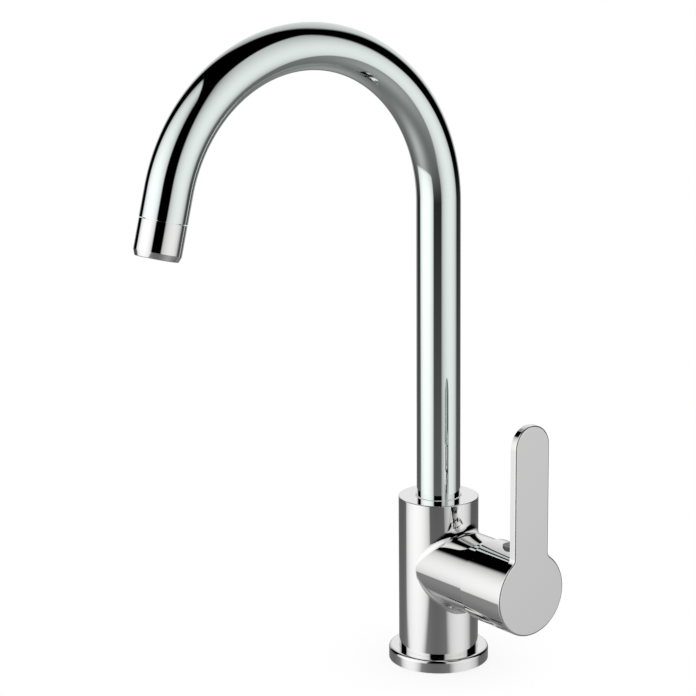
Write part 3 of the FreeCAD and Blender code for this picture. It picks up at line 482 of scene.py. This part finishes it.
class Studio(Finish):
    """The studio seen by the metal, on a large dome: pale panels between dark flags, over a
    dim floor. A looking direction is a unit vector from the dome's centre to its surface."""

    def __init__(self):
        super().__init__("studio_light", (0, 0, 0), 0.0, 1.0)
        away = self.node("ShaderNodeVectorMath", operation="SUBTRACT")
        away.inputs[1].default_value = DOME_CENTRE
        self.link(self.place, away.inputs[0])
        unit = self.node("ShaderNodeVectorMath", operation="NORMALIZE")
        self.link(away.outputs[0], unit.inputs[0])
        self.way = unit.outputs[0]

    def along(self, x, y, z):
        """Length of the looking direction along that axis."""
        made = self.node("ShaderNodeVectorMath", operation="DOT_PRODUCT")
        made.inputs[1].default_value = (x, y, z)
        self.link(self.way, made.inputs[0])
        return made.outputs["Value"]

    def step(self, value, start, end, low=0.0, high=1.0):
        """Smooth step from low at start to high at end."""
        return self.spread(value, low, high, start, end, interpolation_type="SMOOTHSTEP")

    def inside(self, limit, value, soft):
        """1 where the value is under the limit and 0 past it, with a soft edge."""
        return self.step(self.sum("SUBTRACT", limit, value), -soft, soft)

    def tangent(self, part, facing):
        """The part of the looking direction over its facing part, held to the widest."""
        slope = self.sum("DIVIDE", part, self.sum("MAXIMUM", facing, EDGE_ON))
        return self.sum("MAXIMUM", self.sum("MINIMUM", slope, WIDEST), -WIDEST)

    def panel(self, azimuth, left, right, break_height, top, bottom, soft, tone):
        """A flat upright panel facing the tap. With u and v, the tangents aside and up from its
        middle, its left and right edges are each base + lean * v + flare * min(v - break, 0),
        its top and bottom edges base + lean * u, and its light is a quadratic in u and in the
        looking direction's height: c0 + c1 u + c2 u^2 + d1 z + d2 z^2 + e u z. The edges are
        soft by one number for the sides, one for the top and one for the bottom."""
        facing = self.along(*towards(azimuth, 0))
        rise = self.along(*UP)
        u = self.tangent(self.along(*towards(azimuth + 90, 0)), facing)
        v = self.tangent(rise, facing)
        low = self.sum("MINIMUM", self.sum("SUBTRACT", v, break_height), 0.0)
        mask = self.sum("GREATER_THAN", facing, EDGE_ON)
        soft_sides, soft_top, soft_bottom = soft
        for sign, (base, lean, flare) in ((-1, left), (1, right)):
            edge = self.sum("MULTIPLY_ADD", low, flare, self.sum("MULTIPLY_ADD", v, lean, base))
            aside = self.sum("MULTIPLY", u, sign)
            mask = self.sum("MULTIPLY", mask, self.inside(edge, aside, soft_sides))
        edge = self.sum("MULTIPLY_ADD", u, top[1], top[0])
        mask = self.sum("MULTIPLY", mask, self.inside(edge, v, soft_top))
        edge = self.sum("MULTIPLY_ADD", u, bottom[1], bottom[0])
        mask = self.sum("MULTIPLY", mask, self.inside(v, edge, soft_bottom))
        c0, c1, c2, d1, d2, e = tone
        across = self.sum("MULTIPLY_ADD", self.sum("MULTIPLY_ADD", u, c2, c1), u, c0)
        upward = self.sum("MULTIPLY_ADD", rise, d2, d1)
        upward = self.sum("MULTIPLY", self.sum("MULTIPLY_ADD", u, e, upward), rise)
        light = self.sum("MAXIMUM", self.sum("ADD", across, upward), 0.0)
        return self.sum("MULTIPLY", mask, light)

    def pool(self, azimuth, elevation, level, power):
        """A soft round glow: the level times a power of the cosine from its middle."""
        near = self.sum("MAXIMUM", self.along(*towards(azimuth, elevation)), 0.0)
        return self.sum("MULTIPLY", self.sum("POWER", near, power), level)


def towards(azimuth, elevation):
    """Unit vector; azimuth 0 is -Y and grows towards +X, in degrees."""
    a, e = math.radians(azimuth), math.radians(elevation)
    return math.sin(a) * math.cos(e), -math.cos(a) * math.cos(e), math.sin(e)


PANELS = (
    dict(
        azimuth=-16, left=(0.914, -0.031, 0.033), right=(0.819, 0.089, -0.093),
        break_height=0.492, top=(2.369, -0.004), bottom=(-0.402, 0.022), soft=(0.1, 0.09, 0.05),
        tone=(1.048, -0.025, -0.632, 0.208, -0.731, 0.063),
    ),
    dict(
        azimuth=107.5, left=(0.798, 0.036, -0.162), right=(0.725, -0.074, -0.809),
        break_height=0.476, top=(1.984, -0.16), bottom=(-0.499, -0.148), soft=(0.09, 0.2, 0.1),
        tone=(0.794, 0.07, -0.506, 0.068, -0.493, -0.144),
    ),
    dict(
        azimuth=-140.7, left=(0.552, 0.134, 0.871), right=(1.252, -0.125, -1.671),
        break_height=-0.628, top=(2.452, 0.186), bottom=(-0.708, -2.034),
        soft=(0.222, 0.54, 0.498), tone=(0.438, 0.089, -0.247, 1.115, -1.189, -0.132),
    ),
)

# Glows on the studio's floor below the panels, and one at the back: azimuth, elevation,
# level and power.
FLOOR_POOLS = (
    (-19.884, -33.624, 0.298, 7.858),
    (104.273, -42.574, 0.18, 7.281),
    (-133.603, -38.475, 0.163, 10.29),
)
BACK_POOL = (-130, 12.5, 0.15, 40)

studio = Studio()
rise = studio.along(*UP)
ground = studio.sum("MULTIPLY_ADD", rise, -0.035, 0.111)
ground = studio.sum("MULTIPLY", ground, studio.step(rise, -0.357, 0.161, 1.0, 0.0))
for given in FLOOR_POOLS:
    ground = studio.sum("ADD", ground, studio.pool(*given))
seen = ground
for given in PANELS:
    seen = studio.sum("MAXIMUM", seen, studio.panel(**given))
seen = studio.sum("ADD", seen, studio.pool(*BACK_POOL))
glow = studio.node("ShaderNodeEmission")
studio.link(studio.sum("MULTIPLY", seen, GAIN), glow.inputs["Strength"])
studio.link(glow.outputs[0], studio.tree.nodes["Material Output"].inputs["Surface"])
studio.material.cycles.emission_sampling = "NONE"


def dome_points(around, up, reach=1.55):
    """Rings of a ball at even height angles e, each point at the centre plus the radius times
    (cos e cos a, cos e sin a, sin e); the last rings are small and each is one flat face."""
    e, a = np.meshgrid(np.linspace(-reach, reach, up), angles(around), indexing="ij")
    rings = np.stack([np.cos(a) * np.cos(e), np.sin(a) * np.cos(e), np.sin(e)], -1)
    faces = loop_faces(up, around, False).tolist()
    faces += [list(range(around))[::-1], list(range((up - 1) * around, up * around))]
    return (np.array(DOME_CENTRE) + DOME_RADIUS * rings.reshape(-1, 3)).tolist(), faces


def staged(name, points, faces, finish, mirrored):
    """A piece of the studio, which isn't part of the tap; metal sees it only if mirrored."""
    mesh = bpy.data.meshes.new(name)
    mesh.from_pydata(points, [], faces)
    mesh.materials.append(finish)
    thing = bpy.data.objects.new(name, mesh)
    bpy.context.scene.collection.objects.link(thing)
    thing.visible_glossy = mirrored
    return thing


# Only mirror-like rays see the dome; all others see the white world.
dome = staged("studio_dome", *dome_points(128, 64), studio.material, mirrored=True)
dome.visible_camera = False
dome.visible_diffuse = False
dome.visible_shadow = False
dome.visible_volume_scatter = False

world = bpy.data.worlds.new("white_room")
world.use_nodes = True
world.node_tree.nodes["Background"].inputs["Color"].default_value = (1, 1, 1, 1)
world.node_tree.nodes["Background"].inputs["Strength"].default_value = 1.0
world.cycles.sampling_method = "NONE"
bpy.context.scene.world = world

# ---- floor -----------------------------------------------------------------------------

FLOOR_HEIGHT = -0.2 * MM
FLOOR_REACH = 4.0
SHADOW_NEAR, SHADOW_FAR = 30 * MM, 75 * MM  # the shadow fades out between these distances
SHADOW_LIFT = 0.86  # share of plain white that lightens the shadow at the tap's foot

floor_finish = Finish("white_floor", (0.9, 0.9, 0.9), 0.0, 0.9)
white = floor_finish.node("ShaderNodeEmission")
white.inputs["Color"].default_value = (1, 1, 1, 1)
distance = floor_finish.node("ShaderNodeVectorMath", operation="LENGTH")
floor_finish.link(floor_finish.place, distance.inputs[0])
whiteness = floor_finish.spread(
    distance.outputs["Value"], SHADOW_LIFT, 1.0, SHADOW_NEAR, SHADOW_FAR
)
mixer = floor_finish.node("ShaderNodeMixShader")
floor_finish.link(whiteness, mixer.inputs[0])
floor_finish.link(floor_finish.shader.outputs[0], mixer.inputs[1])
floor_finish.link(white.outputs[0], mixer.inputs[2])
floor_output = floor_finish.tree.nodes["Material Output"]
floor_finish.link(mixer.outputs[0], floor_output.inputs["Surface"])
square = ((-1, -1), (1, -1), (1, 1), (-1, 1))
corners = [(FLOOR_REACH * x, FLOOR_REACH * y, FLOOR_HEIGHT) for x, y in square]
staged("floor", corners, [(0, 1, 2, 3)], floor_finish.material, mirrored=False)

# ---- camera ----------------------------------------------------------------------------

camera_data = bpy.data.cameras.new("camera")
camera_data.sensor_width = 36.0
camera_data.lens = 101.6228
camera = bpy.data.objects.new("camera", camera_data)
bpy.context.scene.collection.objects.link(camera)
camera.location = (0.868906, -0.729960, 0.444554)
camera.rotation_euler = Euler([math.radians(a) for a in (77.50673, 0.57501, 52.54066)], "XYZ")
bpy.context.scene.camera = camera

bpy.context.scene.view_settings.view_transform = "Standard"
